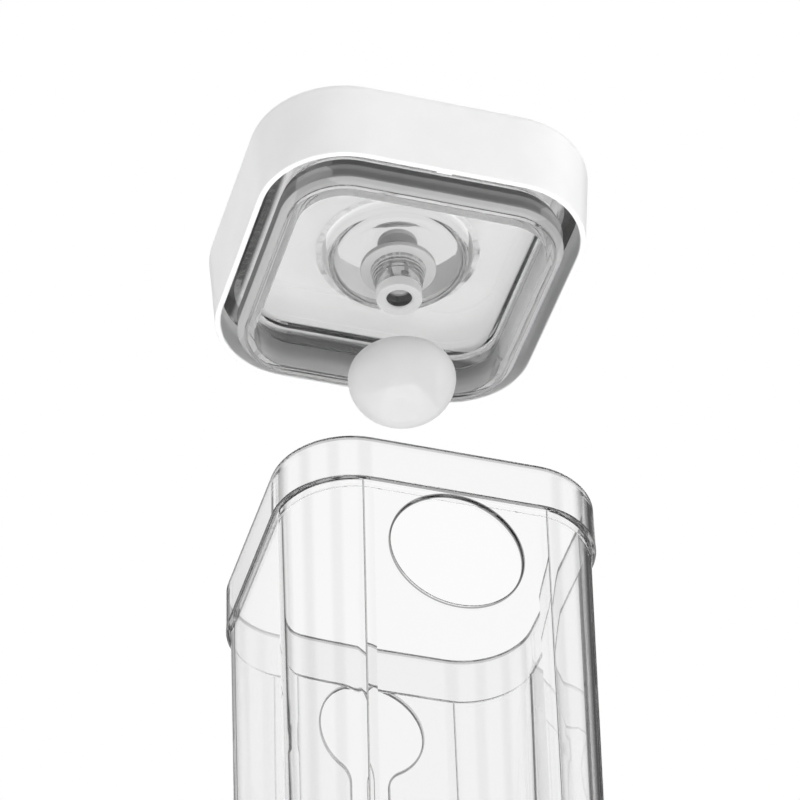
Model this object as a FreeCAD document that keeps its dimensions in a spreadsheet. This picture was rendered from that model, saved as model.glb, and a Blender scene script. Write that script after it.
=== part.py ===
import FreeCAD, Part
import math
import os
import re
import Sketcher

# A clear square storage jar with a vacuum lid, in millimetres.
# Origin: middle of the jar's base, +Z up, -Y is the front panel with the round recess.
# The lid stands lifted off the jar, and the splash cap stands pulled off its spout.
# Lid pieces are drawn from the lid's own zero, the underside of the cover's lip.

doc = FreeCAD.newDocument("vacuum_canister")
sheet = doc.addObject("Spreadsheet::Sheet", "Sizes")

sizes = {
    # jar
    "jar_height": 196,
    "base_size": 95.1,
    "shoulder_size": 101,
    "shoulder_corner": 25.2,
    "panel_depth": 0.3,
    "panel_count": 4,
    "jar_wall": 2.1,
    "jar_inner_corner": 22.5,
    "jar_floor": 3,
    "heel_round": 3,
    "floor_round": 4,
    "foot_width": 7,
    "foot_height": 1.2,
    "neck_wall": 1.4,
    "collar_wall": 2.9,
    "collar_height": 16.5,
    "collar_round": 0.5,
    "mouth_depth": 18.5,
    "mouth_corner": 22.3,
    "rim_round": 0.9,
    "recess_diameter": 42,
    "recess_depth": 1.1,
    "recess_drop": 0.4,
    "recess_lead": 1,
    "bulb_diameter": 36,
    "tail_width": 12,
    "tail_length": 62,
    "tail_flare": 8,
    # lid cover
    "lid_gap": 118,
    "cover_clearance": 2.3,
    "cover_wall": 2,
    "cover_plate": 2,
    "cover_height": 31,
    "cover_flare": 2.4,
    "cover_round": 3,
    "lip_round": 0.5,
    "well_wall": 2,
    "well_round": 1.4,
    "rib_wall": 2,
    "latch_count": 2,
    "latch_width": 5.2,
    "latch_height": 1.5,
    "latch_reach": 0.7,
    # inner lid
    "channel_depth": 13.5,
    "tray_plate": 2,
    "flange_inset": 0.1,
    "skirt_wall": 2.4,
    "skirt_drop": 6.5,
    "ceiling_round": 4,
    "bowl_radius": 25.8,
    "bowl_depth": 6,
    "bowl_bend": 4,
    # gasket
    "gasket_clearance": 0.3,
    "gasket_lip": 1,
    "gasket_wall": 2.4,
    "gasket_height": 10.8,
    "gasket_bevel": 0.4,
    "lip_height": 3,
    "lip_pitch": 5.6,
    "keeper_lip": 0.9,
    "keeper_height": 1.7,
    # spout and valve
    "bore_radius": 4.35,
    "spigot_wall": 2.05,
    "spigot_rise": 1.8,
    "fit_clearance": 0.1,
    "washer_radius": 12.75,
    "washer_height": 1.7,
    "neck_radius": 9.4,
    "neck_taper": 1.9,
    "neck_length": 9.3,
    "neck_round": 0.4,
    "ring_count": 4,
    "ring_pitch": 1.3,
    "ring_drop": 1.3,
    "ring_height": 0.4,
    "ring_depth": 0.5,
    "notch_count": 2,
    "notch_width": 2.6,
    "notch_height": 1.8,
    "notch_rise": 0.6,
    "notch_depth": 1.2,
    "tip_wall": 1.3,
    "tip_length": 4,
    "tip_end": 1.2,
    "tip_chamfer": 0.6,
    "seat_wall": 2,
    "seat_plate": 1.7,
    "port_radius": 0.9,
    "port_circle": 2.9,
    "port_count": 6,
    "stem_radius": 1.2,
    "stem_clearance": 0.12,
    "disc_radius": 7.4,
    "disc_plate": 1.2,
    "valve_travel": 2.5,
    "clip_radius": 2.6,
    "clip_height": 1.8,
    "clip_end": 0.3,
    "knob_radius": 6.8,
    "knob_waist": 4,
    "knob_foot": 5.2,
    "knob_foot_plate": 0.8,
    "knob_height": 6.6,
    "knob_head": 2.5,
    "knob_round": 1.1,
    # splash cap
    "cap_drop": 40,
    "cap_air_gap": 2.3,
    "cap_radius": 17.8,
    "cap_shoulder": 6.5,
    "cap_height": 20.2,
    "cap_flat": 6,
    "cap_clearance": 0.3,
    "mouth_clearance": 0.6,
    "chamber_radius": 5.5,
    "chamber_depth": 3.7,
    "slot_count": 4,
    "slot_width": 2.6,
    "slot_reach": 1.6,
    "slot_sink": 1.2,
}

for row, (alias, number) in enumerate(sizes.items(), start=1):
    sheet.set(f"A{row}", alias)
    sheet.set(f"B{row}", str(number))
    sheet.setAlias(f"B{row}", alias)
doc.recompute()


def on_sheet(text):
    """Expression in which each word that is an alias names its cell."""
    return re.sub("[a-z_]+", lambda word: f"Sizes.{word[0]}" if word[0] in sizes else word[0], text)


def worth(text):
    """Number that an expression on the sheet stands for."""
    return float(sheet.evalExpression(on_sheet(text)))


# Square sizes, from the jar's shoulder outwards to the cover and inwards to the skirt.
mouth_size = "( shoulder_size - 2 * panel_depth - 2 * neck_wall )"
rim_size = f"( {mouth_size} + 2 * collar_wall )"
rim_corner = "( mouth_corner + collar_wall )"
cover_inner = f"( {rim_size} + 2 * cover_clearance )"
cover_inner_corner = f"( {rim_corner} + cover_clearance )"
lip_size = f"( {cover_inner} + 2 * cover_wall )"
lip_corner = f"( {cover_inner_corner} + cover_wall )"
flange_size = f"( {cover_inner} - 2 * flange_inset )"
flange_corner = f"( {cover_inner_corner} - flange_inset )"
gasket_size = f"( {mouth_size} - 2 * gasket_clearance )"
gasket_corner = "( mouth_corner - gasket_clearance )"
band_size = f"( {gasket_size} - 2 * gasket_lip )"
band_corner = f"( {gasket_corner} - gasket_lip )"
skirt_size = f"( {band_size} - 2 * gasket_wall )"
skirt_corner = f"( {band_corner} - gasket_wall )"

# Levels in the lid, above the cover's lip.
shoulder_level = "( jar_height - collar_height )"
lid_level = "( jar_height + lid_gap )"
tray_top = "( channel_depth + tray_plate )"
plate_level = "( cover_height - cover_plate )"
gasket_level = "( keeper_height - skirt_drop )"
gasket_top = f"( {gasket_level} + gasket_height )"
bowl_level = "( channel_depth - bowl_depth )"
bowl_floor = f"( {bowl_level} + tray_plate )"
washer_level = f"( {bowl_level} - washer_height )"
neck_level = f"( {washer_level} - neck_length )"
tip_level = f"( {neck_level} - tip_length )"
spigot_level = f"( {tip_level} + tip_end )"
spigot_top = f"( {bowl_floor} + spigot_rise )"
seat_top = f"( {spigot_top} + seat_plate )"
disc_top = f"( {seat_top} + disc_plate )"
clip_top = f"( {spigot_top} - valve_travel )"
clip_level = f"( {clip_top} - clip_height )"
knob_top = f"( {disc_top} + knob_height )"
cap_top = f"( {washer_level} - cap_air_gap )"
cap_waist = f"( {cap_top} - cap_shoulder )"
cap_level = f"( {cap_top} - cap_height )"

# Radii about the spout's axis.
spigot_radius = "( bore_radius + spigot_wall )"
hole_radius = f"( {spigot_radius} + fit_clearance )"
tip_radius = f"( {spigot_radius} + tip_wall )"
seat_radius = f"( {spigot_radius} + seat_wall )"
cap_socket = f"( {tip_radius} + cap_clearance )"
cap_mouth = "( neck_radius + mouth_clearance )"


def new_body(label, level="0"):
    """Empty body whose own zero stands at a level above the jar's base."""
    body = doc.addObject("PartDesign::Body", label)
    body.Label = label
    body.setExpression("Placement.Base.z", on_sheet(level))
    return body


def new_sketch(body, name, role="XY_Plane", offset="0"):
    """Sketch on one of the body's origin planes, moved along the plane's normal."""
    sketch = body.newObject("Sketcher::SketchObject", f"{body.Label}_{name}")
    plane = next(item for item in body.Origin.OriginFeatures if item.Role == role)
    sketch.AttachmentSupport = [(plane, "")]
    sketch.MapMode = "FlatFace"
    sketch.setExpression("AttachmentOffset.Base.z", on_sheet(offset))
    return sketch


def leaning_sketch(body, name, side, lean, offset):
    """Upright sketch at a distance to the front (1) or back (-1), which leans outwards by an angle."""
    sketch = new_sketch(body, name, "XZ_Plane", f"{side} * ( {offset} )")
    turn = FreeCAD.Rotation(FreeCAD.Vector(1, 0, 0), side * worth(lean))
    sketch.AttachmentOffset = FreeCAD.Placement(sketch.AttachmentOffset.Base, turn)
    return sketch


def hold(sketch, constraint, text):
    """Adds a dimension and binds it to an expression on the sheet."""
    index = sketch.addConstraint(constraint)
    sketch.setExpression(f"Constraints[{index}]", on_sheet(text))


def pin(sketch, curve, end, across, up):
    """Ties one end of a curve to a place given by two expressions."""
    for kind, axis, text in (("DistanceX", -2, across), ("DistanceY", -1, up)):
        number = worth(text)
        if abs(number) < 1e-9:
            sketch.addConstraint(Sketcher.Constraint("PointOnObject", curve, end, axis))
        elif number > 0:
            hold(sketch, Sketcher.Constraint(kind, -1, 1, curve, end, number), text)
        else:
            hold(sketch, Sketcher.Constraint(kind, curve, end, -1, 1, -number), f"- ( {text} )")


def bowed(start, finish, radius, side):
    """Short arc between two points, bowed to the left (1) or right (-1) of the way."""
    chord = finish - start
    middle = (start + finish) * 0.5
    left = FreeCAD.Vector(-chord.y, chord.x, 0).normalize()
    sagitta = radius - math.sqrt(max(radius ** 2 - (chord.Length / 2) ** 2, 0))
    return Part.Arc(start, middle + left * side * sagitta, finish)


def outline(sketch, corners):
    """Closed outline. A corner is (across, up), or (across, up, radius, side) before an arc."""
    places = [FreeCAD.Vector(worth(corner[0]), worth(corner[1]), 0) for corner in corners]
    starts = []
    for index, corner in enumerate(corners):
        here = places[index]
        there = places[(index + 1) % len(corners)]
        if len(corner) == 2:
            curve = sketch.addGeometry(Part.LineSegment(here, there))
            starts.append((curve, 1, 2))
        else:
            arc = bowed(here, there, worth(corner[2]), corner[3])
            curve = sketch.addGeometry(arc)
            # A sketch keeps its arcs anticlockwise, so one bowed to the left starts at the far end.
            starts.append((curve, 2, 1) if corner[3] > 0 else (curve, 1, 2))
            hold(sketch, Sketcher.Constraint("Radius", curve, worth(corner[2])), corner[2])
    for index, (curve, start, finish) in enumerate(starts):
        following, following_start, _ = starts[(index + 1) % len(starts)]
        sketch.addConstraint(Sketcher.Constraint("Coincident", curve, finish, following, following_start))
        pin(sketch, curve, start, corners[index][0], corners[index][1])


def square(sketch, size, corner):
    """Square of a size with rounded corners."""
    half = f"( {size} / 2 )"
    run = f"( {half} - {corner} )"
    outline(sketch, [
        (f"- {run}", f"- {half}"), (run, f"- {half}", corner, -1),
        (half, f"- {run}"), (half, run, corner, -1),
        (run, half), (f"- {run}", half, corner, -1),
        (f"- {half}", run), (f"- {half}", f"- {run}", corner, -1),
    ])


def circle(sketch, radius, across="0", up="0"):
    """Circle of a radius about a place."""
    centre = FreeCAD.Vector(worth(across), worth(up), 0)
    curve = sketch.addGeometry(Part.Circle(centre, FreeCAD.Vector(0, 0, 1), worth(radius)))
    pin(sketch, curve, 3, across, up)
    hold(sketch, Sketcher.Constraint("Radius", curve, worth(radius)), radius)


def square_sketch(body, name, level, size, corner):
    """Level sketch of one rounded square."""
    sketch = new_sketch(body, name, offset=level)
    square(sketch, size, corner)
    return sketch


def loft(body, name, sections):
    """Straight-sided loft through level sketches."""
    feature = body.newObject("PartDesign::AdditiveLoft", f"{body.Label}_{name}")
    feature.Profile = sections[0]
    feature.Sections = sections[1:]
    feature.Ruled = True
    return feature


def raised(body, name, sketch, length):
    """Pad above a level sketch."""
    feature = body.newObject("PartDesign::Pad", f"{body.Label}_{name}")
    feature.Profile = sketch
    feature.setExpression("Length", on_sheet(length))
    return feature


def drafted(body, name, pad, level, angle):
    """Slopes a pad's sides so that it widens upwards, and keeps its size at one level."""
    doc.recompute()
    sides = []
    for index, face in enumerate(pad.Shape.Faces, start=1):
        if face.BoundBox.ZLength > 1e-4:
            sides.append(f"Face{index}")
        elif abs(face.BoundBox.ZMin - level) < 1e-4:
            neutral = f"Face{index}"
    feature = body.newObject("PartDesign::Draft", f"{body.Label}_{name}")
    feature.Base = (pad, sides)
    feature.NeutralPlane = (pad, [neutral])
    feature.Reversed = True
    feature.setExpression("Angle", on_sheet(angle))
    return feature


def sunk(body, name, sketch, depth, along=False, taper="0"):
    """Pocket against the sketch's normal, or along it, with sides that may widen by an angle."""
    doc.recompute()
    before = body.Shape.Volume
    feature = body.newObject("PartDesign::Pocket", f"{body.Label}_{name}")
    feature.Profile = sketch
    feature.Reversed = along
    feature.setExpression("Length", on_sheet(depth))
    feature.setExpression("TaperAngle", on_sheet(taper))
    doc.recompute()
    if body.Shape.Volume >= before:
        raise RuntimeError(f"{feature.Name} cuts nothing")
    return feature


def turned(body, name, corners, kind="Revolution"):
    """Outline of (radius, height) turned about the upright axis, added or cut."""
    sketch = new_sketch(body, f"{name}_outline", "XZ_Plane")
    outline(sketch, corners)
    feature = body.newObject(f"PartDesign::{kind}", f"{body.Label}_{name}")
    feature.Profile = sketch
    feature.ReferenceAxis = (sketch, ["V_Axis"])
    feature.Angle = 360
    return feature


def around(body, name, original, count):
    """Copies of a feature, evenly spaced about the upright axis."""
    feature = body.newObject("PartDesign::PolarPattern", f"{body.Label}_{name}")
    feature.Originals = [original]
    feature.Axis = (next(item for item in body.Origin.OriginFeatures if item.Role == "Z_Axis"), [""])
    feature.Angle = 360
    feature.setExpression("Occurrences", on_sheet(count))
    body.Tip = feature
    return feature


def level_edges(body, level, least=0, most=1e6):
    """Names of the edges at one level of a body, between two distances from the axis."""
    doc.recompute()
    shape = body.Tip.Shape
    names = []
    for index, edge in enumerate(shape.Edges, start=1):
        box = edge.BoundBox
        middle = edge.valueAt((edge.FirstParameter + edge.LastParameter) / 2)
        reach = math.hypot(middle.x, middle.y)
        if max(abs(box.ZMin - level), abs(box.ZMax - level)) < 1e-4 and least <= reach <= most:
            names.append(f"Edge{index}")
    return names


def face_edges(body, level):
    """Names of the edges round the smallest flat face at one level of a body."""
    doc.recompute()
    shape = body.Tip.Shape
    flats = []
    for face in shape.Faces:
        box = face.BoundBox
        if max(abs(box.ZMin - level), abs(box.ZMax - level)) < 1e-4:
            flats.append(face)
    border = min(flats, key=lambda face: face.BoundBox.XLength).OuterWire.Edges
    return [
        f"Edge{index}" for index, edge in enumerate(shape.Edges, start=1)
        if any(edge.isSame(other) for other in border)
    ]


def softened(body, name, edges, radius):
    """Fillet on named edges of the body's last feature."""
    base = body.Tip
    feature = body.newObject("PartDesign::Fillet", f"{body.Label}_{name}")
    feature.Base = (base, edges)
    feature.setExpression("Radius", on_sheet(radius))
    return feature


def keyhole(sketch, top):
    """Round bulb below a level that runs out into a narrow tail through two flares."""
    bulb = "( bulb_diameter / 2 )"
    middle = f"( {top} - {bulb} )"
    side = "( tail_width / 2 )"
    # The flare's arc touches the bulb from outside, so their centres are both radii apart.
    apart = f"( {bulb} + tail_flare )"
    across = f"( {side} + tail_flare )"
    drop = f"sqrt( {apart} * {apart} - {across} * {across} )"
    touch_side = f"( {bulb} * {across} / {apart} )"
    touch_level = f"( {middle} - {bulb} * {drop} / {apart} )"
    flare_level = f"( {middle} - {drop} )"
    tail_end = f"( {middle} - {bulb} - tail_length )"
    outline(sketch, [
        (f"- {side}", tail_end), (side, tail_end), (side, flare_level, "tail_flare", 1),
        (touch_side, touch_level, bulb, -1), ("0", top, bulb, -1),
        (f"- {touch_side}", touch_level, "tail_flare", 1), (f"- {side}", flare_level),
    ])


def make_container():
    """Clear jar: tapered walls with a flat panel on each side, a collar and two recesses."""
    body = new_body("container")
    draft = f"atan( ( shoulder_size - base_size ) / 2 / {shoulder_level} )"
    shoulder = square_sketch(body, "shoulder", "0", "shoulder_size", "shoulder_corner")
    walls = raised(body, "walls", shoulder, shoulder_level)
    drafted(body, "slope", walls, worth(shoulder_level), draft)
    softened(body, "heel", level_edges(body, 0), "heel_round")
    panel = leaning_sketch(body, "panel_outline", 1, draft, "base_size / 2 + recess_lead")
    panel_top = f"( {shoulder_level} + recess_lead )"
    outline(panel, [
        ("- shoulder_size / 2", "- recess_lead"), ("shoulder_size / 2", "- recess_lead"),
        ("shoulder_size / 2", panel_top), ("- shoulder_size / 2", panel_top),
    ])
    cut = sunk(body, "panel", panel, "recess_lead + panel_depth")
    around(body, "panels", cut, "panel_count")
    raised(body, "collar", square_sketch(body, "rim", shoulder_level, rim_size, rim_corner), "collar_height")
    ledge_level = "( jar_height - mouth_depth )"
    ledge = square_sketch(body, "ledge", ledge_level, "( shoulder_size - 2 * panel_depth - 2 * jar_wall )",
                          "jar_inner_corner")
    sunk(body, "cavity", ledge, f"{ledge_level} - jar_floor", taper=f"- {draft}")
    mouth = square_sketch(body, "mouth_outline", "jar_height", mouth_size, "mouth_corner")
    sunk(body, "mouth", mouth, "mouth_depth")
    recess_top = f"( {shoulder_level} - recess_drop )"
    foot_size = "( base_size - 2 * foot_width )"
    foot = square_sketch(body, "foot", "0", foot_size, "( jar_inner_corner - foot_width )")
    sunk(body, "foot_recess", foot, "foot_height", along=True)
    start = "base_size / 2 - panel_depth + recess_lead"
    for name, side in (("front", 1), ("back", -1)):
        sketch = leaning_sketch(body, f"{name}_outline", side, draft, start)
        if name == "front":
            circle(sketch, "( recess_diameter / 2 )", up=f"( {recess_top} - recess_diameter / 2 )")
        else:
            keyhole(sketch, recess_top)
        sunk(body, f"{name}_recess", sketch, "recess_lead + recess_depth", along=side < 0)
    softened(body, "floor_bend", level_edges(body, worth("jar_floor"), 40), "floor_round")
    softened(body, "rim_bend", level_edges(body, worth("jar_height")), "rim_round")
    collar_edge = worth(f"{rim_size} / 2") - 0.1
    softened(body, "collar_bend", level_edges(body, worth(shoulder_level), collar_edge), "collar_round")
    return body


def make_lid_cover():
    """White shell of the lid, wider at the top, with a round well for the pump."""
    body = new_body("lid_cover", lid_level)
    flare = "atan( cover_flare / cover_height )"
    shell = raised(body, "shell", square_sketch(body, "lip", "0", lip_size, lip_corner), "cover_height")
    drafted(body, "slope", shell, 0, flare)
    softened(body, "top_bend", level_edges(body, worth("cover_height")), "cover_round")
    inner_lip = square_sketch(body, "inner_lip", "0", cover_inner, cover_inner_corner)
    sunk(body, "hollow", inner_lip, plate_level, along=True, taper=flare)
    softened(body, "lip_bend", level_edges(body, 0), "lip_round")
    latch = new_sketch(body, "latch_outline", offset="lip_round")
    latch_back = f"( {cover_inner} / 2 + cover_wall / 2 )"
    latch_front = f"( {cover_inner} / 2 - latch_reach )"
    outline(latch, [
        ("- latch_width / 2", f"- {latch_back}"), ("latch_width / 2", f"- {latch_back}"),
        ("latch_width / 2", f"- {latch_front}"), ("- latch_width / 2", f"- {latch_front}"),
    ])
    around(body, "latches", raised(body, "latch", latch, "latch_height"), "latch_count")
    rib = new_sketch(body, "rib", offset=tray_top)
    square(rib, f"( {band_size} + 2 * rib_wall )", f"( {band_corner} + rib_wall )")
    square(rib, band_size, band_corner)
    raised(body, "seat_rib", rib, f"{plate_level} - {tray_top}")
    well = new_sketch(body, "well", offset=tray_top)
    circle(well, "( bowl_radius + well_wall )")
    raised(body, "well_tube", well, f"{plate_level} - {tray_top}")
    mouth = new_sketch(body, "well_mouth", offset="cover_height")
    circle(mouth, "bowl_radius")
    sunk(body, "well_bore", mouth, f"cover_height - {tray_top}")
    well_edge = level_edges(body, worth("cover_height"), 0, worth("bowl_radius") + 1)
    softened(body, "well_bend", well_edge, "well_round")
    return body


def make_inner_lid():
    """Clear tray of the lid: a plate over the rim with a skirt below it, and the bowl under the pump."""
    body = new_body("inner_lid", lid_level)
    foot = "- skirt_drop"
    keeper_size = f"( {skirt_size} + 2 * keeper_lip )"
    keeper_corner = f"( {skirt_corner} + keeper_lip )"
    raised(body, "skirt", square_sketch(body, "skirt_outline", foot, skirt_size, skirt_corner),
           f"skirt_drop + {tray_top}")
    raised(body, "plate", square_sketch(body, "plate_outline", "channel_depth", flange_size, flange_corner),
           "tray_plate")
    keeper = square_sketch(body, "keeper_outline", foot, keeper_size, keeper_corner)
    raised(body, "keeper", keeper, "keeper_height")
    stop = square_sketch(body, "stop_outline", gasket_top, keeper_size, keeper_corner)
    raised(body, "stop", stop, "keeper_lip")
    hollow = square_sketch(body, "hollow_outline", foot, f"( {skirt_size} - 2 * skirt_wall )",
                           f"( {skirt_corner} - skirt_wall )")
    sunk(body, "hollow", hollow, "skirt_drop + channel_depth", along=True)
    softened(body, "ceiling_bend", face_edges(body, worth("channel_depth")), "ceiling_round")
    outer_bend = "( bowl_depth - bowl_bend )"
    wall = f"( bowl_radius - {outer_bend} )"
    floor_edge = f"( {wall} - bowl_bend )"
    middle = f"( {bowl_level} + bowl_bend )"
    plate_middle = "( channel_depth + tray_plate / 2 )"
    turned(body, "bowl", [
        ("0", bowl_level), (floor_edge, bowl_level, "bowl_bend", -1), (wall, middle, outer_bend, 1),
        ("bowl_radius", "channel_depth"), ("bowl_radius", plate_middle), ("0", plate_middle),
    ])
    inner_wall = f"( {wall} - tray_plate )"
    turned(body, "bowl_recess", [
        ("0", bowl_floor), (floor_edge, bowl_floor, "( bowl_bend - tray_plate )", -1),
        (inner_wall, middle, f"( {outer_bend} + tray_plate )", 1),
        ("bowl_radius", tray_top), ("0", tray_top),
    ], "Groove")
    hole = new_sketch(body, "spout_hole", offset=bowl_floor)
    circle(hole, hole_radius)
    sunk(body, "spout_bore", hole, "tray_plate")
    return body


def make_lid_gasket():
    """Silicone ring with two sealing lips, held on the skirt."""
    body = new_body("lid_gasket", lid_level)
    bevel_size = f"( {band_size} - 2 * gasket_bevel )"
    bevel_corner = f"( {band_corner} - gasket_bevel )"
    steps = [("0", bevel_size, bevel_corner)]
    for name in ("0", "lip_pitch"):
        steps.append((f"{name} + lip_height / 2", gasket_size, gasket_corner))
        steps.append((f"{name} + lip_height", band_size, band_corner))
        if name == "0":
            steps.append(("lip_pitch", band_size, band_corner))
    steps.append(("gasket_height", bevel_size, bevel_corner))
    loft(body, "lips", [
        square_sketch(body, f"step_{index}", f"{gasket_level} + {rise}", size, corner)
        for index, (rise, size, corner) in enumerate(steps)
    ])
    bore = square_sketch(body, "bore_outline", gasket_level, skirt_size, skirt_corner)
    sunk(body, "bore", bore, "gasket_height", along=True)
    return body


def make_spout_washer():
    """Silicone flange between the bowl and the neck."""
    body = new_body("spout_washer", lid_level)
    turned(body, "ring", [
        (hole_radius, washer_level), ("washer_radius", washer_level),
        ("washer_radius", bowl_level), (hole_radius, bowl_level),
    ])
    softened(body, "edge", level_edges(body, worth(washer_level), worth("washer_radius") - 0.1), "neck_round")
    return body


def make_valve_housing():
    """Clear ringed neck with a spigot up through the bowl and one down into the tip."""
    body = new_body("valve_housing", lid_level)
    foot_radius = "( neck_radius - neck_taper )"
    turned(body, "neck", [
        ("bore_radius", spigot_level), (spigot_radius, spigot_level), (spigot_radius, neck_level),
        (foot_radius, neck_level), ("neck_radius", washer_level), (spigot_radius, washer_level),
        (spigot_radius, spigot_top), ("bore_radius", spigot_top),
    ])
    softened(body, "edge", level_edges(body, worth(neck_level), worth(foot_radius) - 0.1), "neck_round")
    for index in range(round(worth("ring_count"))):
        drop = f"( ring_drop + {index} * ring_pitch )"
        level = f"( {washer_level} - {drop} )"
        radius = f"( neck_radius - neck_taper * {drop} / neck_length )"
        turned(body, f"ring_{index}", [
            (f"( {radius} - ring_depth )", level),
            (f"( {radius} + ring_depth )", f"( {level} - ring_height )"),
            (f"( {radius} + ring_depth )", f"( {level} + ring_height )"),
        ], "Groove")
    sketch = new_sketch(body, "notch_outline", "XZ_Plane", "neck_radius + ring_depth")
    notch_level = f"( {neck_level} + notch_rise )"
    outline(sketch, [
        ("- notch_width / 2", notch_level), ("notch_width / 2", notch_level),
        ("notch_width / 2", f"( {notch_level} + notch_height )"),
        ("- notch_width / 2", f"( {notch_level} + notch_height )"),
    ])
    notch = sunk(body, "notch", sketch, "ring_depth + neck_taper + notch_depth")
    around(body, "notches", notch, "notch_count")
    return body


def make_spout_tip():
    """Sleeve with the suction hole, on the lower spigot."""
    body = new_body("spout_tip", lid_level)
    turned(body, "sleeve", [
        ("( bore_radius + tip_chamfer )", tip_level), (tip_radius, tip_level), (tip_radius, neck_level),
        (hole_radius, neck_level), (hole_radius, spigot_level), ("bore_radius", spigot_level),
        ("bore_radius", f"( {tip_level} + tip_chamfer )"),
    ])
    softened(body, "edge", level_edges(body, worth(tip_level), worth(tip_radius) - 0.1), "neck_round")
    return body


def make_valve_seat():
    """Seat clamped on the bowl floor, with a guide for the stem and a ring of air ports."""
    body = new_body("valve_seat", lid_level)
    guide = "( stem_radius + stem_clearance )"
    turned(body, "cup", [
        (guide, spigot_top), (hole_radius, spigot_top), (hole_radius, bowl_floor),
        (seat_radius, bowl_floor), (seat_radius, seat_top), (guide, seat_top),
    ])
    sketch = new_sketch(body, "port", offset=seat_top)
    circle(sketch, "port_radius", across="port_circle")
    port = sunk(body, "port_bore", sketch, "seat_plate")
    around(body, "ports", port, "port_count")
    return body


def make_valve_plug():
    """Silicone disc on the seat, with a stem through its guide."""
    body = new_body("valve_plug", lid_level)
    turned(body, "disc", [
        ("0", f"( {clip_level} - clip_end )"), ("stem_radius", f"( {clip_level} - clip_end )"),
        ("stem_radius", seat_top), ("disc_radius", seat_top), ("disc_radius", disc_top), ("0", disc_top),
    ])
    return body


def make_stem_clip():
    """Clip on the stem's end, which meets the seat when the valve is fully lifted."""
    body = new_body("stem_clip", lid_level)
    turned(body, "ring", [
        ("stem_radius", clip_level), ("clip_radius", clip_level),
        ("clip_radius", clip_top), ("stem_radius", clip_top),
    ])
    return body


def make_valve_knob():
    """Knob on the disc, waisted for two fingers."""
    body = new_body("valve_knob", lid_level)
    foot = f"( {disc_top} + knob_foot_plate )"
    head = f"( {knob_top} - knob_head )"
    turned(body, "grip", [
        ("0", disc_top), ("knob_foot", disc_top), ("knob_foot", foot),
        ("knob_waist", f"( {foot} + knob_round )"), ("knob_waist", f"( {head} - knob_round )"),
        ("knob_radius", head), ("knob_radius", knob_top), ("0", knob_top),
    ])
    softened(body, "edge", level_edges(body, worth(knob_top)), "knob_round")
    return body


def make_splash_cap():
    """White pebble with a stepped socket for the spout and air slots beside the tip."""
    body = new_body("splash_cap", f"{lid_level} - cap_drop")
    shoulder_edge = "( cap_radius - cap_shoulder )"
    overhang = "( cap_radius - cap_flat )"
    depth = f"( {cap_waist} - {cap_level} )"
    belly = f"( ( {overhang} * {overhang} + {depth} * {depth} ) / ( 2 * {overhang} ) )"
    socket_step = f"( {neck_level} - cap_clearance )"
    socket_end = f"( {tip_level} - cap_clearance )"
    chamber_end = f"( {socket_end} - chamber_depth )"
    turned(body, "pebble", [
        ("0", cap_level), ("cap_flat", cap_level, belly, -1), ("cap_radius", cap_waist, "cap_shoulder", -1),
        (shoulder_edge, cap_top), (cap_mouth, cap_top), (cap_mouth, socket_step), (cap_socket, socket_step),
        (cap_socket, socket_end), ("chamber_radius", socket_end), ("chamber_radius", chamber_end),
        ("0", chamber_end),
    ])
    sketch = new_sketch(body, "slot", offset=socket_step)
    outline(sketch, [
        ("0", "- slot_width / 2"), (f"{cap_socket} + slot_reach", "- slot_width / 2"),
        (f"{cap_socket} + slot_reach", "slot_width / 2"), ("0", "slot_width / 2"),
    ])
    slot = sunk(body, "slot_cut", sketch, f"{socket_step} - {socket_end} + slot_sink")
    around(body, "slots", slot, "slot_count")
    return body


bodies = [
    make_container(), make_lid_cover(), make_inner_lid(), make_lid_gasket(),
    make_spout_washer(), make_valve_housing(), make_spout_tip(), make_valve_seat(),
    make_valve_plug(), make_stem_clip(), make_valve_knob(), make_splash_cap(),
]
doc.recompute()

for item in doc.Objects:
    if "Invalid" in item.State or "Error" in item.State:
        raise RuntimeError(f"{item.Name} did not build: {item.State}")
for body in bodies:
    if body.Shape.isNull() or not body.Shape.isValid() or len(body.Shape.Solids) != 1:
        raise RuntimeError(f"{body.Label} is not one sound solid")

os.makedirs("parts", exist_ok=True)
for body in bodies:
    body.Shape.exportStep(f"parts/{body.Label}.step")
    box = body.Shape.BoundBox
    print(f"{body.Label}: {body.Shape.Volume / 1000:.2f} cm3, z {box.ZMin:.2f} to {box.ZMax:.2f}")
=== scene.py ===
import math

import bpy
from mathutils import Matrix, Vector


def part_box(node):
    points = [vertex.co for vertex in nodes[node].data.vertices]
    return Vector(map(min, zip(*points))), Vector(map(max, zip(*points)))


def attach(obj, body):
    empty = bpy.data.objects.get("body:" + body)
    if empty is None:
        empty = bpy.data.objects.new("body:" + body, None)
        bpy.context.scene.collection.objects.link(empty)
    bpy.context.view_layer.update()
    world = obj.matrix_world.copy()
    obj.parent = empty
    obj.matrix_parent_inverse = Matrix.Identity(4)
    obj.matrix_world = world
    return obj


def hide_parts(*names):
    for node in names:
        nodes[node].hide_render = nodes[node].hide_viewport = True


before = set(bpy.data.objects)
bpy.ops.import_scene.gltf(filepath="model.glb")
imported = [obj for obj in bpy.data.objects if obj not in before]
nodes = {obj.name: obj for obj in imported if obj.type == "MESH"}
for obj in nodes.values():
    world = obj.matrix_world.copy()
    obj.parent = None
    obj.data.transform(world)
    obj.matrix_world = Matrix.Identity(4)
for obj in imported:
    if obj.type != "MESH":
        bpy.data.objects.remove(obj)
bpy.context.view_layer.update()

scene = bpy.context.scene
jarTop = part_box("container")[1].z
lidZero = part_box("lid_cover")[0].z  # the underside of the cover's lip
print("canister loaded:", len(nodes), "CAD nodes")


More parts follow.
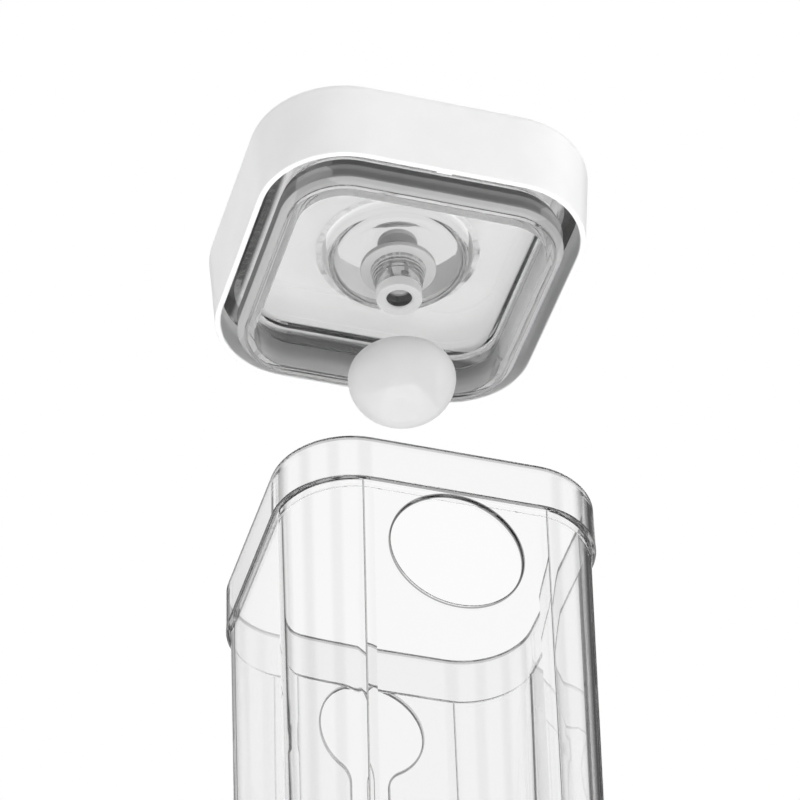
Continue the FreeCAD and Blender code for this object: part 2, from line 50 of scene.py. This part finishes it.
class Wire:
    # a socket that can stand in a sum; operators add Math nodes to its tree
    def __init__(self, tree, socket=None):
        self.tree = tree
        self.socket = socket

    def add(self, kind, settings=None, sockets=None, out=0):
        # a new node of any kind: settings first, then values or links of its sockets
        node = self.tree.nodes.new(kind)
        for key, value in (settings or {}).items():
            setattr(node, key, value)
        for key, value in (sockets or {}).items():
            if isinstance(value, Wire):
                self.tree.links.new(value.socket, node.inputs[key])
            else:
                node.inputs[key].default_value = value
        return Wire(self.tree, node.outputs[out] if len(node.outputs) else None)

    def other(self, name):
        return Wire(self.tree, self.socket.node.outputs[name])

    def maths(self, operation, *values):
        return self.add("ShaderNodeMath", {"operation": operation}, dict(enumerate(values)))

    def __add__(self, more):
        return self.maths("ADD", self, more)

    def __sub__(self, less):
        return self.maths("SUBTRACT", self, less)

    def __rsub__(self, whole):
        return self.maths("SUBTRACT", whole, self)

    def __mul__(self, times):
        return self.maths("MULTIPLY", self, times)

    def __pow__(self, power):
        return self.maths("POWER", self, power)

    __radd__ = __add__
    __rmul__ = __mul__

    def larger(self, than):
        return self.maths("MAXIMUM", self, than)

    def step(self, low, high):
        # 0 below low, 1 above high, smooth between
        return self.add("ShaderNodeMapRange", {"interpolation_type": "SMOOTHSTEP"},
                        {"Value": self, "From Min": low, "From Max": high})

    def over(self, level, soft=0.0001):
        # 0 below a level, 1 above it, with a hair of softness
        return self.step(level - soft, level + soft)

    def tint(self, first, second):
        # colour from first to second as this value goes from 0 to 1; a Mix node's colours are 6, 7 and 2
        return self.add("ShaderNodeMix", {"data_type": "RGBA"}, {0: self, 6: first, 7: second}, out=2)


def grey(level):
    return (level, level, level, 1.0)


def newMaterial(name):
    material = bpy.data.materials.new(name)
    material.use_nodes = True
    material.node_tree.nodes.clear()
    return material, Wire(material.node_tree)


def objectPlace(paint):
    return paint.add("ShaderNodeTexCoord").other("Object")


def noise(paint, place, scale, detail=3.0, rough=0.55):
    return paint.add("ShaderNodeTexNoise", {},
                     {"Vector": place, "Scale": scale, "Detail": detail, "Roughness": rough})


def bump(paint, height, strength, distance):
    return paint.add("ShaderNodeBump", {}, {"Height": height, "Strength": strength, "Distance": distance})


def split(paint, place):
    return paint.add("ShaderNodeSeparateXYZ", {}, {0: place})


def reach(paint, place):
    # distance from the upright axis, measured squarely as the jar is
    parts = split(paint, place)
    return paint.maths("ABSOLUTE", parts.other("X")).larger(paint.maths("ABSOLUTE", parts.other("Y")))


def radius(paint, place):
    # distance from the upright axis
    flat = paint.add("ShaderNodeVectorMath", {"operation": "MULTIPLY"}, {0: place, 1: (1, 1, 0)})
    return paint.add("ShaderNodeVectorMath", {"operation": "LENGTH"}, {0: flat}, out=1)


def lidHeight(paint, place):
    # height above the cover's lip
    return split(paint, place).other("Z") - lidZero


# Zones of the lid's clear pieces. Each pair is the start and the end of a soft step.
lidZones = {"channel": (0.0458, 0.0475), "bowl": (0.0245, 0.0262), "bore": (0.0046, 0.0056),
            "boreMouth": (-0.002, 0.0005), "neckOutside": (0.0056, 0.0062), "plateLevel": (0.0142, 0.015),
            "plateInside": (0.0255, 0.0265), "plateOutside": (0.0425, 0.044)}


# painted shade: the tray's flange over the gasket channel is tinted dark grey for the shade in the channel
def channelShadeZone(paint, place):
    return reach(paint, place).step(*lidZones["channel"])


# painted shade: the bowl is tinted grey for the shaded well and valve seen through it
def bowlShadeZone(paint, place):
    return 1 - radius(paint, place).step(*lidZones["bowl"])


def boreShadeZone(paint, place):
    # inside of the suction hole, near its mouth, tinted nearly black as painted shade
    within = 1 - radius(paint, place).step(*lidZones["bore"])
    return within * (1 - lidHeight(paint, place).step(*lidZones["boreMouth"]))


def neckOutside(paint, place):
    return radius(paint, place).step(*lidZones["neckOutside"])


def plateTop(paint, place):
    # upper face of the tray's plate, between the bowl and the skirt
    top = lidHeight(paint, place).step(*lidZones["plateLevel"])
    ring = radius(paint, place).step(*lidZones["plateInside"])
    return top * ring * (1 - reach(paint, place).step(*lidZones["plateOutside"]))


# Painted shade: edges of the jar are tinted darker for the dark lines the clear wall shows there: a disc in
# front, a bulb with a flared tail behind, and the rim.
jarEdges = {"thin": 0.00025, "wide": 0.0004, "panelOut": 0.0473, "rim": (0.0009, 0.0006),
            "discLevel": 0.1581, "disc": 0.021,
            "bulbLevel": 0.1611, "bulb": 0.018, "flare": 0.008, "tail": 0.006, "tailEnd": 0.0811}


def edgeBand(paint, away):
    # 1 along an edge, 0 a hair away from it
    return 1 - paint.maths("ABSOLUTE", away).step(jarEdges["thin"], jarEdges["wide"])


def panelPlace(paint, place, side):
    # distance from the panel's middle line, height, and 1 on the outside of that panel
    parts = split(paint, place)
    outside = (parts.other("Y") * side).over(jarEdges["panelOut"])
    return paint.maths("ABSOLUTE", parts.other("X")), parts.other("Z"), outside


def panelDistance(paint, across, up, level, out=0.0):
    # distance in the panel's plane from a point at a level
    return paint.maths("SQRT", (across - out) ** 2 + (up - level) ** 2)


def discShadeLine(paint, place):
    across, up, outside = panelPlace(paint, place, -1)
    away = panelDistance(paint, across, up, jarEdges["discLevel"])
    return edgeBand(paint, away - jarEdges["disc"]) * outside


def keyholeShadeLine(paint, place):
    across, up, outside = panelPlace(paint, place, 1)
    bulb, flare, level = jarEdges["bulb"], jarEdges["flare"], jarEdges["bulbLevel"]
    flareOut = jarEdges["tail"] + flare
    flareLevel = level - math.sqrt((bulb + flare) ** 2 - flareOut ** 2)
    touchLevel = level - (level - flareLevel) * bulb / (bulb + flare)
    bulbEdge = edgeBand(paint, panelDistance(paint, across, up, level) - bulb)
    flareEdge = edgeBand(paint, panelDistance(paint, across, up, flareLevel, flareOut) - flare)
    flareEdge = flareEdge * (1 - across.over(flareOut))
    tailEdge = edgeBand(paint, across - jarEdges["tail"]) * up.over(jarEdges["tailEnd"])
    aboveTail, aboveTouch = up.over(flareLevel), up.over(touchLevel)
    lower = aboveTail * flareEdge + (1 - aboveTail) * tailEdge
    return (aboveTouch * bulbEdge + (1 - aboveTouch) * lower) * outside


def rimShadeZone(paint, place):
    # the rounded top of the rim, tinted grey as painted shade
    start, full = jarEdges["rim"]
    return split(paint, place).other("Z").step(jarTop - start, jarTop - full)


# Clear moulded plastic. Long ways through the wall turn grey, so edges draw themselves; the zone tints laid
# on top are painted shade.
clearBody = {"ior": 1.5, "flowScale": 26.0, "flowDepth": 0.0004, "milk": grey(0.93),
             "hazeScale": 140.0, "hazeBase": 0.4, "hazeGain": 1.2}
# The jar's zone tints are painted shade along the disc, keyhole and rim edges.
jarClear = {"tint": grey(0.988), "roughness": 0.012, "waviness": 0.05, "grey": grey(0.645), "density": 58.0,
            "zones": [(discShadeLine, grey(0.14)), (keyholeShadeLine, grey(0.34)), (rimShadeZone, grey(0.4))]}
# The tray's zone tints are painted shade: dark grey over the channel, light grey in the bowl.
trayClear = {"tint": grey(0.983), "roughness": 0.015, "waviness": 0.04, "grey": grey(0.638), "density": 36.0,
             "zones": [(channelShadeZone, grey(0.2)), (bowlShadeZone, grey(0.75))], "frosted": plateTop, "frost": 0.7}
# The neck's bore tint is painted shade inside the suction hole.
neckClear = {"tint": grey(0.977), "roughness": 0.06, "waviness": 0.05, "grey": grey(0.518), "density": 11.0,
             "zones": [(boreShadeZone, grey(0.02))], "frosted": neckOutside, "frost": 0.16}


def clearPlastic(name, look):
    material, paint = newMaterial(name)
    place = objectPlace(paint)
    flow = noise(paint, place, clearBody["flowScale"], detail=1.0)
    haze = clearBody["hazeBase"] + clearBody["hazeGain"] * noise(paint, place, clearBody["hazeScale"])
    tint = look["tint"]
    # each zone tints the plastic darker: painted shade
    for zone, colour in look["zones"]:
        tint = zone(paint, place).tint(tint, colour)
    body = paint.add("ShaderNodeBsdfPrincipled", {}, {
        "Base Color": tint, "IOR": clearBody["ior"], "Transmission Weight": 1.0,
        "Roughness": look["roughness"] * haze,
        "Normal": bump(paint, flow, look["waviness"], clearBody["flowDepth"]),
    })
    if "frosted" in look:
        milky = paint.add("ShaderNodeBsdfDiffuse", {}, {"Color": clearBody["milk"]})
        frost = look["frosted"](paint, place) * look["frost"]
        body = paint.add("ShaderNodeMixShader", {}, {0: frost, 1: body, 2: milky})
    through = paint.add("ShaderNodeBsdfTransparent", {}, {"Color": grey(1.0)})
    path = paint.add("ShaderNodeLightPath")
    passing = path.other("Is Shadow Ray").larger(path.other("Is Diffuse Ray"))
    surface = paint.add("ShaderNodeMixShader", {}, {0: passing, 1: body, 2: through})
    depth = paint.add("ShaderNodeVolumeAbsorption", {}, {"Color": look["grey"], "Density": look["density"]})
    paint.add("ShaderNodeOutputMaterial", {}, {"Surface": surface, "Volume": depth})
    return material


# White and grey moulded plastic: a fine grain and a very slight mottle.
mouldedBody = {"ior": 1.47, "mottleScale": 38.0, "mottleRange": (0.3, 0.7), "grainSize": 0.0001,
               "grainSheen": 0.06, "mottleSheen": 0.04}
coverWhite = {"light": grey(0.91), "dark": grey(0.88), "roughness": 0.36, "grain": 1500.0, "grainDepth": 0.06}
capWhite = {"light": grey(0.67), "dark": grey(0.64), "roughness": 0.55, "grain": 2600.0, "grainDepth": 0.14}
tipGrey = {"light": grey(0.84), "dark": grey(0.78), "roughness": 0.48, "grain": 2200.0, "grainDepth": 0.1}
seatGrey = {"light": grey(0.3), "dark": grey(0.25), "roughness": 0.42, "grain": 2200.0, "grainDepth": 0.1}


def mouldedPlastic(name, look):
    material, paint = newMaterial(name)
    place = objectPlace(paint)
    mottle = noise(paint, place, mouldedBody["mottleScale"]).step(*mouldedBody["mottleRange"])
    grain = noise(paint, place, look["grain"], detail=2.0)
    sheen = mouldedBody["grainSheen"] * (grain - 0.5) + mouldedBody["mottleSheen"] * (mottle - 0.5)
    body = paint.add("ShaderNodeBsdfPrincipled", {}, {
        "Base Color": mottle.tint(look["light"], look["dark"]),
        "Roughness": look["roughness"] + sheen,
        "IOR": mouldedBody["ior"],
        "Normal": bump(paint, grain, look["grainDepth"], mouldedBody["grainSize"]),
    })
    paint.add("ShaderNodeOutputMaterial", {}, {"Surface": body})
    return material


# Silicone: the gasket is pale on its lower lip; its deeper grey in the groove above it and its mid grey at
# its back are painted shade, as the silicone is one colour.
silicone = {"ior": 1.41, "roughness": 0.42, "grain": 1800.0, "grainDepth": 0.08, "grainSize": 0.0001,
            "sheen": 0.1, "cloudScale": 60.0, "cloudShare": 0.06, "washer": (grey(0.66), grey(0.6)),
            "pale": grey(0.44), "grooveShade": grey(0.2), "groove": (-0.0026, -0.0008),
            "back": grey(0.36), "backShadeReach": (0.0456, 0.0452)}


def washerColour(paint, place, cloud):
    return cloud.tint(*silicone["washer"])


# painted shade: the groove above the lower lip and the back facing the skirt are tinted darker grey
def gasketColourAndShade(paint, place, cloud):
    groove = lidHeight(paint, place).step(*silicone["groove"])
    share = silicone["cloudShare"]
    front = (groove * (1 - share) + share * cloud).tint(silicone["pale"], silicone["grooveShade"])
    return reach(paint, place).step(*silicone["backShadeReach"]).tint(front, silicone["back"])


def siliconeRubber(name, colour):
    material, paint = newMaterial(name)
    place = objectPlace(paint)
    grain = noise(paint, place, silicone["grain"], detail=2.0)
    cloud = noise(paint, place, silicone["cloudScale"])
    body = paint.add("ShaderNodeBsdfPrincipled", {}, {
        "Base Color": colour(paint, place, cloud),
        "Roughness": silicone["roughness"] + silicone["sheen"] * (grain - 0.5),
        "IOR": silicone["ior"],
        "Normal": bump(paint, grain, silicone["grainDepth"], silicone["grainSize"]),
    })
    paint.add("ShaderNodeOutputMaterial", {}, {"Surface": body})
    return material


capFinish = mouldedPlastic("cap_white", capWhite)
washerFinish = siliconeRubber("washer_silicone", washerColour)
finishes = {
    "container": clearPlastic("jar_clear", jarClear),
    "inner_lid": clearPlastic("tray_clear", trayClear),
    "valve_housing": clearPlastic("neck_clear", neckClear),
    "lid_cover": mouldedPlastic("cover_white", coverWhite),
    "spout_tip": mouldedPlastic("tip_grey", tipGrey),
    "valve_seat": mouldedPlastic("seat_grey", seatGrey),
    "lid_gasket": siliconeRubber("gasket_silicone", gasketColourAndShade),
    "spout_washer": washerFinish,
    "valve_plug": washerFinish,
    "splash_cap": capFinish,
    "valve_knob": capFinish,
    "stem_clip": capFinish,
}
for name, material in finishes.items():
    for slot in nodes[name].material_slots:
        slot.material = material
print("finishes set:", len(finishes))


def newPiece(name, points, edges, faces):
    mesh = bpy.data.meshes.new(name)
    mesh.from_pydata(points, edges, faces)
    piece = bpy.data.objects.new(name, mesh)
    scene.collection.objects.link(piece)
    return piece


def newTree(name, sizes):
    # a tree whose inputs are a mesh, named sizes and a finish
    tree = bpy.data.node_groups.new(name, "GeometryNodeTree")
    tree.interface.new_socket("Geometry", in_out="INPUT", socket_type="NodeSocketGeometry")
    for label, value in sizes.items():
        kind = "NodeSocketInt" if isinstance(value, int) else "NodeSocketFloat"
        item = tree.interface.new_socket(label, in_out="INPUT", socket_type=kind)
        item.default_value = value
    tree.interface.new_socket("Finish", in_out="INPUT", socket_type="NodeSocketMaterial")
    tree.interface.new_socket("Geometry", in_out="OUTPUT", socket_type="NodeSocketGeometry")
    return Wire(tree).add("NodeGroupInput")


def closeTree(inlet, shape):
    real = inlet.add("GeometryNodeRealizeInstances", {}, {0: shape})
    dressed = inlet.add("GeometryNodeSetMaterial", {}, {"Geometry": real, "Material": inlet.other("Finish")})
    inlet.add("NodeGroupOutput", {}, {0: dressed})
    return inlet.tree


def settle(piece, tree, values):
    # runs the tree once and keeps its result as a plain mesh
    modifier = piece.modifiers.new("shape", "NODES")
    modifier.node_group = tree
    for item in tree.interface.items_tree:
        if item.in_out == "INPUT" and item.name in values:
            modifier[item.identifier] = values[item.name]
    bpy.context.view_layer.update()
    graph = bpy.context.evaluated_depsgraph_get()
    mesh = bpy.data.meshes.new_from_object(piece.evaluated_get(graph))
    piece.modifiers.remove(modifier)
    piece.data = mesh


# Gasket: a rounded profile with two lips, swept round the skirt.
gasketShape = {"half": 0.0451, "corner": 0.0186, "cornerSteps": 18, "gap": 0.00004, "height": 0.0108,
               "band": 0.0024, "lip": 0.00095, "lipWidth": 0.0011, "lipFall": 1.6, "lipAt": (0.0016, 0.0071),
               "edge": 0.0009, "steps": 44}


def gasketOutline(look):
    # corners of the profile, as distance out from the skirt and height above the gasket's foot
    edge, height = look["edge"], look["height"]
    points = [(look["gap"], 0.0)]
    for index in range(look["steps"] + 1):
        up = height * index / look["steps"]
        out = look["band"]
        for middle in look["lipAt"]:
            out += look["lip"] * math.exp(-look["lipFall"] * ((up - middle) / look["lipWidth"]) ** 2)
        end = min(up, height - up)
        if end < edge:
            out -= edge - math.sqrt(edge ** 2 - (edge - end) ** 2)
        points.append((out, up))
    points.append((look["gap"], height))
    return points


def sweepTree(name):
    # sweeps the object's own edges, as a profile, round a rounded square
    inlet = newTree(name, {"Width": 0.1, "Corner": 0.02, "Corner Steps": 12, "Level": 0.0})
    width = inlet.other("Width")
    square = inlet.add("GeometryNodeCurvePrimitiveQuadrilateral", {}, {"Width": width, "Height": width})
    path = inlet.add("GeometryNodeFilletCurve", {"mode": "POLY"}, {
        "Curve": square, "Count": inlet.other("Corner Steps"), "Radius": inlet.other("Corner"),
    })
    profile = inlet.add("GeometryNodeMeshToCurve", {}, {0: inlet})
    sweep = inlet.add("GeometryNodeCurveToMesh", {}, {"Curve": path, "Profile Curve": profile})
    outward = inlet.add("GeometryNodeFlipFaces", {}, {0: sweep})
    rise = inlet.add("ShaderNodeCombineXYZ", {}, {"Z": inlet.other("Level")})
    lifted = inlet.add("GeometryNodeTransform", {}, {"Geometry": outward, "Translation": rise})
    return closeTree(inlet, inlet.add("GeometryNodeSetShadeSmooth", {}, {"Geometry": lifted}))


def makeGasket(look):
    points = [(out, -up, 0.0) for out, up in gasketOutline(look)]  # the sweep turns -Y up
    edges = [(index, (index + 1) % len(points)) for index in range(len(points))]
    gasket = newPiece("gasket_ring", points, edges, [])
    settle(gasket, sweepTree("gasket_sweep"), {
        "Width": 2 * look["half"], "Corner": look["corner"], "Corner Steps": look["cornerSteps"],
        "Level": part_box("lid_gasket")[0].z, "Finish": finishes["lid_gasket"],
    })
    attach(gasket, "lid")
    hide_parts("lid_gasket")
    print("gasket swept:", len(gasket.data.polygons), "faces")


makeGasket(gasketShape)


# Fine upright lines where the front and back panels meet the jar's round corners.
panelLine = {"panels": 2, "bead": 0.00028, "sides": 8, "foot": 0.006, "top": 0.1792,
             "footOut": 0.04732, "topOut": 0.0502, "footSide": 0.0289, "topSide": 0.0292}


def beadTree(name):
    # sweeps a round bead along the object's own edges
    inlet = newTree(name, {"Bead": 0.0002, "Sides": 8})
    path = inlet.add("GeometryNodeMeshToCurve", {}, {0: inlet})
    ring = inlet.add("GeometryNodeCurvePrimitiveCircle", {}, {
        "Resolution": inlet.other("Sides"), "Radius": inlet.other("Bead"),
    })
    bead = inlet.add("GeometryNodeCurveToMesh", {}, {"Curve": path, "Profile Curve": ring, "Fill Caps": True})
    return closeTree(inlet, bead)


def makePanelLines(look):
    points = []
    for index in range(look["panels"]):
        turn = Matrix.Rotation(2 * math.pi * index / look["panels"], 3, "Z")
        for side in (-1, 1):
            points.append(turn @ Vector((side * look["footSide"], -look["footOut"], look["foot"])))
            points.append(turn @ Vector((side * look["topSide"], -look["topOut"], look["top"])))
    edges = [(index, index + 1) for index in range(0, len(points), 2)]
    lines = newPiece("panel_lines", points, edges, [])
    settle(lines, beadTree("panel_bead"), {
        "Bead": look["bead"], "Sides": look["sides"], "Finish": finishes["container"],
    })
    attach(lines, "jar")
    print("panel lines:", len(lines.data.polygons), "faces")


makePanelLines(panelLine)


# Stem clip: rounded edges, and a hair of room under the seat when the valve is up.
clipShape = {"bore": 0.0012, "edge": 0.0003, "edgeSteps": 4, "room": 0.00006, "sides": 48}


def clipOutline(look):
    # closed outline of the ring's wall, as radius and height
    low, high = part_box("stem_clip")
    bore, edge = look["bore"], look["edge"]
    top = high.z - look["room"]
    points = [(bore, low.z)]
    for middle, start in ((low.z + edge, -90), (top - edge, 0)):
        for index in range(look["edgeSteps"] + 1):
            angle = math.radians(start + 90 * index / look["edgeSteps"])
            points.append((high.x - edge + edge * math.cos(angle), middle + edge * math.sin(angle)))
    points.append((bore, top))
    return points


def makeClip(look):
    # turns the outline round the upright axis
    outline = clipOutline(look)
    count, sides = len(outline), look["sides"]
    points, faces = [], []
    for turn in range(sides):
        angle = 2 * math.pi * turn / sides
        points += [(out * math.cos(angle), out * math.sin(angle), up) for out, up in outline]
        here, there = turn * count, (turn + 1) % sides * count
        for index in range(count):
            after = (index + 1) % count
            faces.append((here + index, there + index, there + after, here + after))
    clip = newPiece("clip_ring", points, [], faces)
    clip.data.materials.append(finishes["stem_clip"])
    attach(clip, "valve")
    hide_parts("stem_clip")
    print("stem clip:", len(clip.data.polygons), "faces")


makeClip(clipShape)


# Camera: long lens, from below and a little to the left of the front.
shot = {"aim": (-0.00555, -0.01474, 0.24759), "azimuth": -17.45, "elevation": -41.8, "roll": -1.9,
        "distance": 1.2878, "lens": 180.0, "sensor": 36.0, "farthest": 20.0}


def placeCamera(look):
    turn, rise, roll = (math.radians(look[key]) for key in ("azimuth", "elevation", "roll"))
    back = Vector((math.sin(turn) * math.cos(rise), -math.cos(turn) * math.cos(rise), math.sin(rise)))
    level = (-back).cross(Vector((0, 0, 1))).normalized()
    upright = level.cross(-back)
    right = math.cos(roll) * level + math.sin(roll) * upright
    up = math.cos(roll) * upright - math.sin(roll) * level
    data = bpy.data.cameras.new("camera")
    data.sensor_width = look["sensor"]
    data.lens = look["lens"]
    data.clip_end = look["farthest"]
    camera = bpy.data.objects.new("camera", data)
    eye = Matrix.Translation(Vector(look["aim"]) + look["distance"] * back)
    camera.matrix_world = eye @ Matrix((right, up, back)).transposed().to_4x4()
    scene.collection.objects.link(camera)
    scene.camera = camera


placeCamera(shot)


# World: white where it is seen and soft grey where it lights. Dark flags all round and a dark card on the
# right, which only gloss and clear plastic show, draw the edges of the jar. Angles are in degrees.
studio = {"ambient": 0.33, "flags": 8, "flagDark": 0.1, "flagFrom": 0.2, "flagTo": -1.0,
          "cardTurn": 38.0, "cardFrom": 15.0, "cardTo": 5.0, "cardDark": 0.1,
          "lowEdge": (-0.05, 0.05), "highEdge": (0.93, 0.99)}


def makeWorld(look):
    world = bpy.data.worlds.new("studio")
    world.use_nodes = True
    world.node_tree.nodes.clear()
    scene.world = world
    paint = Wire(world.node_tree)
    way = split(paint, paint.add("ShaderNodeTexCoord").other("Generated"))
    height = way.other("Z")
    inBand = height.step(*look["lowEdge"]) * (1 - height.step(*look["highEdge"]))
    ahead = math.radians(90 + shot["azimuth"])  # the way that the photograph looks
    aside = paint.maths("ARCTAN2", way.other("Y"), way.other("X")) - ahead
    flag = 1 - paint.maths("COSINE", aside * look["flags"]).step(look["flagTo"], look["flagFrom"])
    room = (flag * inBand).tint(grey(1.0), grey(look["flagDark"]))
    toCard = paint.maths("COSINE", aside + math.radians(look["cardTurn"]))
    card = toCard.step(*(math.cos(math.radians(look[key])) for key in ("cardFrom", "cardTo")))
    room = (card * inBand).tint(room, grey(look["cardDark"]))
    path = paint.add("ShaderNodeLightPath")
    mirrored = path.other("Is Glossy Ray").larger(path.other("Is Transmission Ray"))
    soft = mirrored.tint(grey(look["ambient"]), room)
    seen = path.other("Is Camera Ray").tint(soft, grey(1.0))
    light = paint.add("ShaderNodeBackground", {}, {"Color": seen, "Strength": 1.0})
    paint.add("ShaderNodeOutputWorld", {}, {"Surface": light})


makeWorld(studio)


# Floor: pale, keeps the shadow near the object, and isn't there when it is looked at from underneath.
ground = {"half": 4.0, "level": -0.0004, "colour": grey(0.95), "fade": (0.3, 1.4)}


def makeFloor(look):
    half, level = look["half"], look["level"]
    corners = [(-half, -half, level), (half, -half, level), (half, half, level), (-half, half, level)]
    floor = newPiece("floor", corners, [], [(0, 1, 2, 3)])
    material, paint = newMaterial("floor_paper")
    away = paint.add("ShaderNodeVectorMath", {"operation": "LENGTH"}, {0: objectPlace(paint)}, out=1)
    path = paint.add("ShaderNodeLightPath")
    mirrored = path.other("Is Glossy Ray").larger(path.other("Is Transmission Ray"))
    shown = path.other("Is Camera Ray").larger(mirrored)
    paper = paint.add("ShaderNodeBsdfDiffuse", {}, {"Color": look["colour"]})
    white = paint.add("ShaderNodeEmission", {}, {"Color": grey(1.0), "Strength": 1.0})
    top = paint.add("ShaderNodeMixShader", {}, {0: shown * away.step(*look["fade"]), 1: paper, 2: white})
    under = paint.add("ShaderNodeNewGeometry").other("Backfacing")
    clear = paint.add("ShaderNodeBsdfTransparent")
    surface = paint.add("ShaderNodeMixShader", {}, {0: under, 1: top, 2: clear})
    paint.add("ShaderNodeOutputMaterial", {}, {"Surface": surface})
    floor.data.materials.append(material)
    floor.visible_shadow = False


makeFloor(ground)


# Soft lamps: two high up, one low on the right, one level on the left, and one below for the undersides.
lampAim = Vector((0, 0, 0.22))
lamps = {
    "top": {"at": (0.2, 0.5, 3.0), "size": 2.0, "power": 30.0},
    "front": {"at": (0.8, -1.35, 1.65), "size": 0.8, "power": 17.5},
    "lowRight": {"at": (1.5, -0.9, -0.7), "size": 1.0, "power": 9.0},
    "left": {"at": (-1.7, 0.1, 0.1), "size": 1.0, "power": 7.5},
    "under": {"at": (0.0, -0.25, -1.8), "size": 1.2, "power": 23.5},
}


def makeLamp(name, look):
    data = bpy.data.lights.new(name, "AREA")
    data.shape = "DISK"
    data.size = look["size"]
    data.energy = look["power"]
    lamp = bpy.data.objects.new(name, data)
    towards = (lampAim - Vector(look["at"])).to_track_quat("-Z", "Y")
    lamp.matrix_world = Matrix.Translation(look["at"]) @ towards.to_matrix().to_4x4()
    lamp.visible_glossy = False  # no lamp shows as a streak in the clear plastic
    lamp.visible_transmission = False
    scene.collection.objects.link(lamp)


for name, look in lamps.items():
    makeLamp(name, look)
scene.view_settings.view_transform = "Standard"
print("studio set: camera, world, floor,", len(lamps), "lamps")
